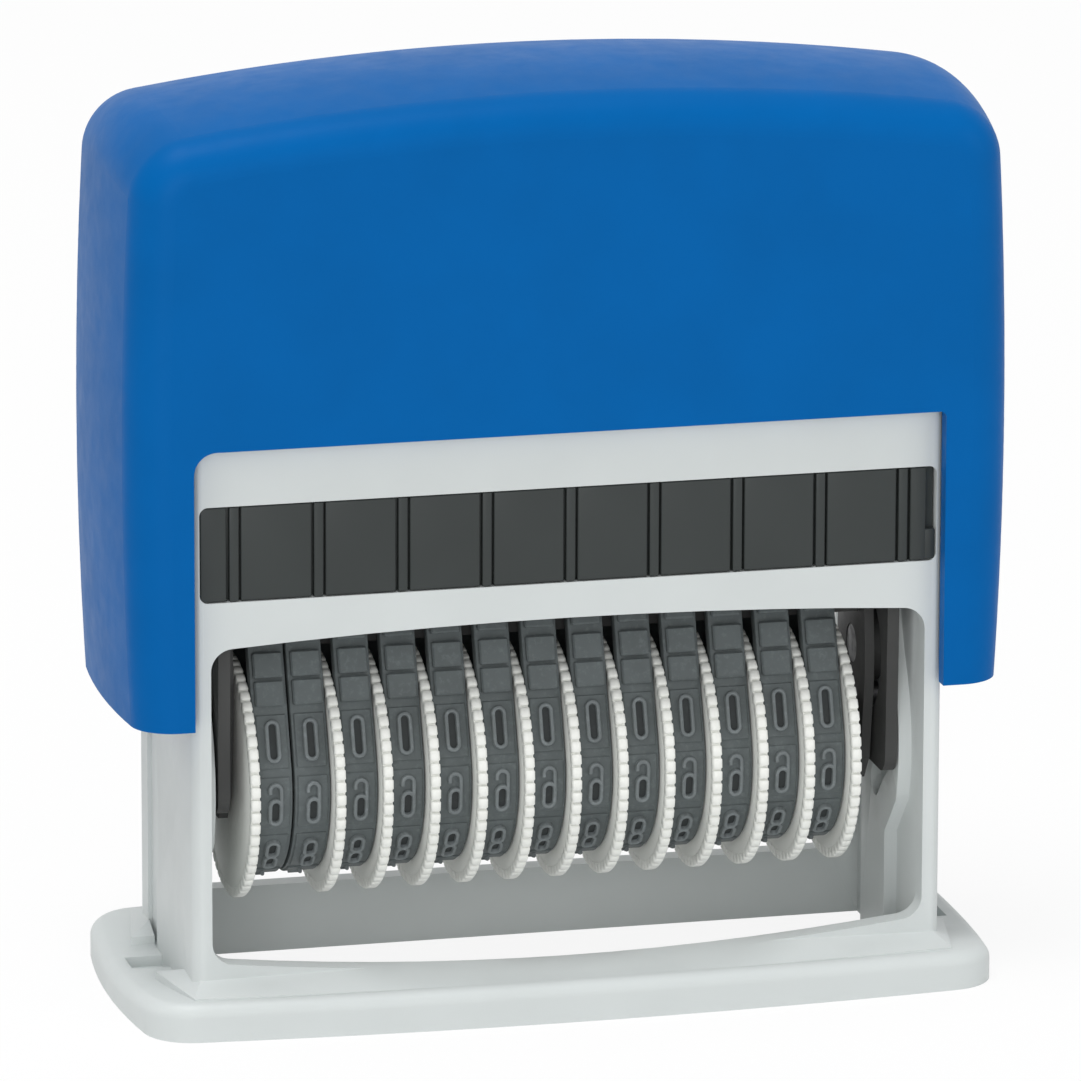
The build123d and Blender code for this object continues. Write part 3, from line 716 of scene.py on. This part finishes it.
class STAMP_OT_wheels(bpy.types.Operator):
    """Turn the toothed thumbwheels"""

    bl_idname = "stamp.wheels"
    bl_label = "Thumbwheels"

    def execute(self, context):
        look = context.scene.stamp_look
        ivory = ivory_wheel("wheel_ivory", look.wheel_colour)
        half = DISC_THICKNESS / 2 * MM
        for number in range(1, WHEELS + 1):
            node = f"thumbwheel_{number:02d}"
            low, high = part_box(node)
            form = wheel(look.teeth)
            if number == 1:
                middle = low.x + half
            else:
                middle = high.x - half
                bmesh.ops.rotate(form, verts=form.verts, matrix=Matrix.Rotation(pi, 3, "Z"))
            bmesh.ops.translate(form, vec=(middle, 0, AXLE_HEIGHT * MM), verts=form.verts)
            finished(
                form, f"{node}_disc", f"wheel_{number:02d}", "wheel_plastic", (ivory,), node,
                smooth=WHEEL_SMOOTH_ANGLE,
            )
        return {"FINISHED"}


# Housing, cap and inner parts ----------------------------------------------------------
class STAMP_OT_frame(bpy.types.Operator):
    """Ease the housing's edges and give it its grey"""

    bl_idname = "stamp.frame"
    bl_label = "Housing"

    def execute(self, context):
        look = context.scene.stamp_look
        grey = moulded("frame_grey", look.frame_colour, roughness=0.45, shine=0.3)
        piece = finished(copied("frame"), "housing", "frame", "frame_plastic", (grey,), "frame")
        ease = piece.modifiers.new("eased_edges", "BEVEL")
        ease.width = look.edge
        ease.segments = 2
        ease.limit_method = "ANGLE"
        ease.angle_limit = radians(HOUSING_EASE_ANGLE)
        ease.use_clamp_overlap = True
        return {"FINISHED"}


class STAMP_OT_cap(bpy.types.Operator):
    """Give the cap its blue"""

    bl_idname = "stamp.cap"
    bl_label = "Cap"

    def execute(self, context):
        look = context.scene.stamp_look
        blue = moulded(
            "cap_blue", look.cap_colour, roughness=0.42, shine=0.05, mottle=0.03, grain=CAP_GRAIN
        )
        dress(blue, "cap_shell")
        return {"FINISHED"}


class STAMP_OT_inner(bpy.types.Operator):
    """Dress the yoke, the carrier, the pins and the springs"""

    bl_idname = "stamp.inner"
    bl_label = "Yoke, carrier and springs"

    def execute(self, context):
        look = context.scene.stamp_look
        dark = moulded("inner_dark", look.inner_colour, roughness=0.5, shine=0.25, mottle=0.04)
        dress(dark, "yoke", "carrier_cheek_left", "carrier_cheek_right", "platen_bar", "axle_spacer")
        rod = drawn_steel("rod_steel", ROD_COLOUR, roughness=0.4)
        dress(rod, "pivot_pin_left", "pivot_pin_right", "cam_pin_left", "cam_pin_right", "wheel_axle")
        wire = drawn_steel("spring_steel", SPRING_COLOUR, roughness=0.2)
        dress(wire, "return_spring_left", "return_spring_right")
        return {"FINISHED"}


# Ink cartridge -------------------------------------------------------------------------
def tile(form, left, right):
    """A raised tile on the front plate with a border that slopes back."""
    part = bmesh.new()
    block(part, (left, TILE_FRONT, PAD_LOW), (right, PAD_REAR, PAD_HIGH))
    part.normal_update()
    front = [face for face in part.faces if face.normal.y < -FACING]
    bmesh.ops.inset_region(
        part, faces=front, thickness=TILE_BORDER * MM, depth=TILE_RISE * MM, use_even_offset=True
    )
    limit = (TILE_FRONT - TILE_SLACK) * MM
    outer = [edge for edge in part.edges if all(vert.co.y > limit for vert in edge.verts)]
    eased(part, outer, TILE_EDGE, 1)
    joined(form, part)


def tray():
    """The drawer behind the front plate, open below for the felt."""
    form = bmesh.new()
    block(form, (-TRAY_HALF, PAD_REAR, PAD_LOW), (TRAY_HALF, TRAY_BACK, TRAY_TOP))
    form.normal_update()
    under = [face for face in form.faces if face.normal.z < -FACING]
    bmesh.ops.inset_region(form, faces=under, thickness=TRAY_WALL * MM, use_even_offset=True)
    raised = bmesh.ops.extrude_face_region(form, geom=under)["geom"]
    verts = [item for item in raised if isinstance(item, bmesh.types.BMVert)]
    bmesh.ops.translate(form, verts=verts, vec=(0, 0, TRAY_DEPTH * MM))
    bmesh.ops.delete(form, geom=under, context="FACES_ONLY")
    return form


class STAMP_OT_pad(bpy.types.Operator):
    """Build the ink cartridge with its ribbed front"""

    bl_idname = "stamp.pad"
    bl_label = "Ink cartridge"

    def execute(self, context):
        look = context.scene.stamp_look
        black = moulded("pad_black", look.pad_colour, roughness=0.42, shine=0.25, mottle=0.04)
        form = bmesh.new()
        block(form, (-PAD_HALF, PAD_BASE, PAD_LOW), (PAD_HALF, PAD_REAR, PAD_HIGH), PAD_EDGE)
        for index in range(look.tiles):
            middle = (index - (look.tiles - 1) / 2) * TILE_STEP
            tile(form, middle - TILE_HALF, middle + TILE_HALF)
        for index in range(look.tiles + 1):
            middle = (index - look.tiles / 2) * TILE_STEP
            block(
                form, (middle - RIB_HALF, RIB_FRONT, PAD_LOW),
                (middle + RIB_HALF, PAD_REAR, PAD_HIGH), RIB_EDGE,
            )
        tile(form, -PAD_HALF, -END_TILE)
        tile(form, END_TILE, RIGHT_TILE_END)
        block(
            form, (STUB_START, STUB_FRONT, PAD_LOW),
            (PAD_HALF, PAD_REAR, PAD_LOW + STUB_HEIGHT), STUB_EDGE,
        )
        joined(form, tray())
        finished(form, "ink_cartridge", "pad", "pad_plastic", (black,), "pad_cartridge")
        dress(inked_felt("felt_ink"), "ink_felt")
        return {"FINISHED"}


# Stage ---------------------------------------------------------------------------------
def stage_camera(scene):
    """Aims the camera at the stamp from the front left and above."""
    azimuth = radians(CAMERA_AZIMUTH)
    elevation = radians(CAMERA_ELEVATION)
    towards = Vector((-sin(azimuth) * cos(elevation), cos(azimuth) * cos(elevation), -sin(elevation)))
    data = bpy.data.cameras.new("camera")
    data.sensor_width = SENSOR_WIDTH
    data.lens = CAMERA_LENS
    data.clip_start = CLIP_START
    camera = bpy.data.objects.new("camera", data)
    scene.collection.objects.link(camera)
    place = Matrix.Translation(CAMERA_AIM - towards * CAMERA_DISTANCE)
    turn = towards.to_track_quat("-Z", "Y").to_matrix().to_4x4()
    camera.matrix_world = place @ turn @ Matrix.Rotation(radians(CAMERA_ROLL), 4, "Z")
    scene.camera = camera


def stage_floor(scene):
    """Lays a floor that is lit as paper and seen as nearly plain white."""
    form = bmesh.new()
    bmesh.ops.create_grid(form, x_segments=1, y_segments=1, size=FLOOR_SIZE)
    mesh = bpy.data.meshes.new("floor")
    form.to_mesh(mesh)
    form.free()
    floor = bpy.data.objects.new("floor", mesh)
    scene.collection.objects.link(floor)
    make = Finish("floor_white")
    share = (make.ray("Camera") + make.ray("Glossy")) * FLOOR_GLOW
    paper = make.node("ShaderNodeBsdfDiffuse", {}, {"Color": FLOOR_PAPER})
    glow = make.node("ShaderNodeEmission", {}, {"Color": WHITE, "Strength": 1.0})
    lit = make.node("ShaderNodeMixShader", {}, {0: share, 1: paper, 2: glow})
    mesh.materials.append(make.surface(lit))


def stage_surround(scene):
    """Sets the white surround, brighter where it is seen than as a light."""
    world = bpy.data.worlds.new("studio")
    scene.world = world
    world.use_nodes = True
    make = Graph(world.node_tree)
    seen = make.ray("Camera")
    for kind in ("Glossy", "Transmission"):
        seen = make.node("ShaderNodeMath", {"operation": "MAXIMUM"}, {0: seen, 1: make.ray(kind)})
    level = make.spread(seen, low=0.0, high=1.0, start=SURROUND_LIT, end=SURROUND_SEEN)
    background = make.tree.nodes["Background"]
    background.inputs["Color"].default_value = (*WHITE, 1)
    make.tree.links.new(level.output, background.inputs["Strength"])


def stage_lamps(scene):
    """Hangs the square lamps round the stamp."""
    for name, place, side, power in LAMPS:
        lamp = bpy.data.lights.new(name, "AREA")
        lamp.size = side
        lamp.energy = power
        holder = bpy.data.objects.new(name, lamp)
        scene.collection.objects.link(holder)
        holder.location = place
        holder.rotation_euler = (LAMP_AIM - Vector(place)).to_track_quat("-Z", "Y").to_euler()


class STAMP_OT_stage(bpy.types.Operator):
    """Set the camera, the lamps, the floor and the white surround"""

    bl_idname = "stamp.stage"
    bl_label = "Stage"

    def execute(self, context):
        scene = context.scene
        scene.view_settings.view_transform = "Standard"
        stage_camera(scene)
        stage_floor(scene)
        stage_surround(scene)
        stage_lamps(scene)
        return {"FINISHED"}


class STAMP_PT_build(bpy.types.Panel):
    """Lists the pieces that can be built"""

    bl_idname = "STAMP_PT_build"
    bl_label = "Numbering Stamp"
    bl_space_type = "VIEW_3D"
    bl_region_type = "UI"
    bl_category = "Stamp"

    def draw(self, context):
        for name in StampLook.__annotations__:
            self.layout.prop(context.scene.stamp_look, name)
        for one in operators:
            self.layout.operator(one.bl_idname)


operators = (
    STAMP_OT_frame, STAMP_OT_cap, STAMP_OT_inner, STAMP_OT_pad,
    STAMP_OT_wheels, STAMP_OT_bands, STAMP_OT_stage,
)
classes = (StampLook, *operators, STAMP_PT_build)


def register():
    for one in classes:
        bpy.utils.register_class(one)
    bpy.types.Scene.stamp_look = PointerProperty(type=StampLook)


def unregister():
    del bpy.types.Scene.stamp_look
    for one in reversed(classes):
        bpy.utils.unregister_class(one)


def main():
    register()
    bpy.ops.stamp.frame()
    bpy.ops.stamp.cap()
    bpy.ops.stamp.inner()
    bpy.ops.stamp.pad()
    bpy.ops.stamp.wheels()
    bpy.ops.stamp.bands()
    bpy.ops.stamp.stage()


if __name__ == "__main__":
    main()
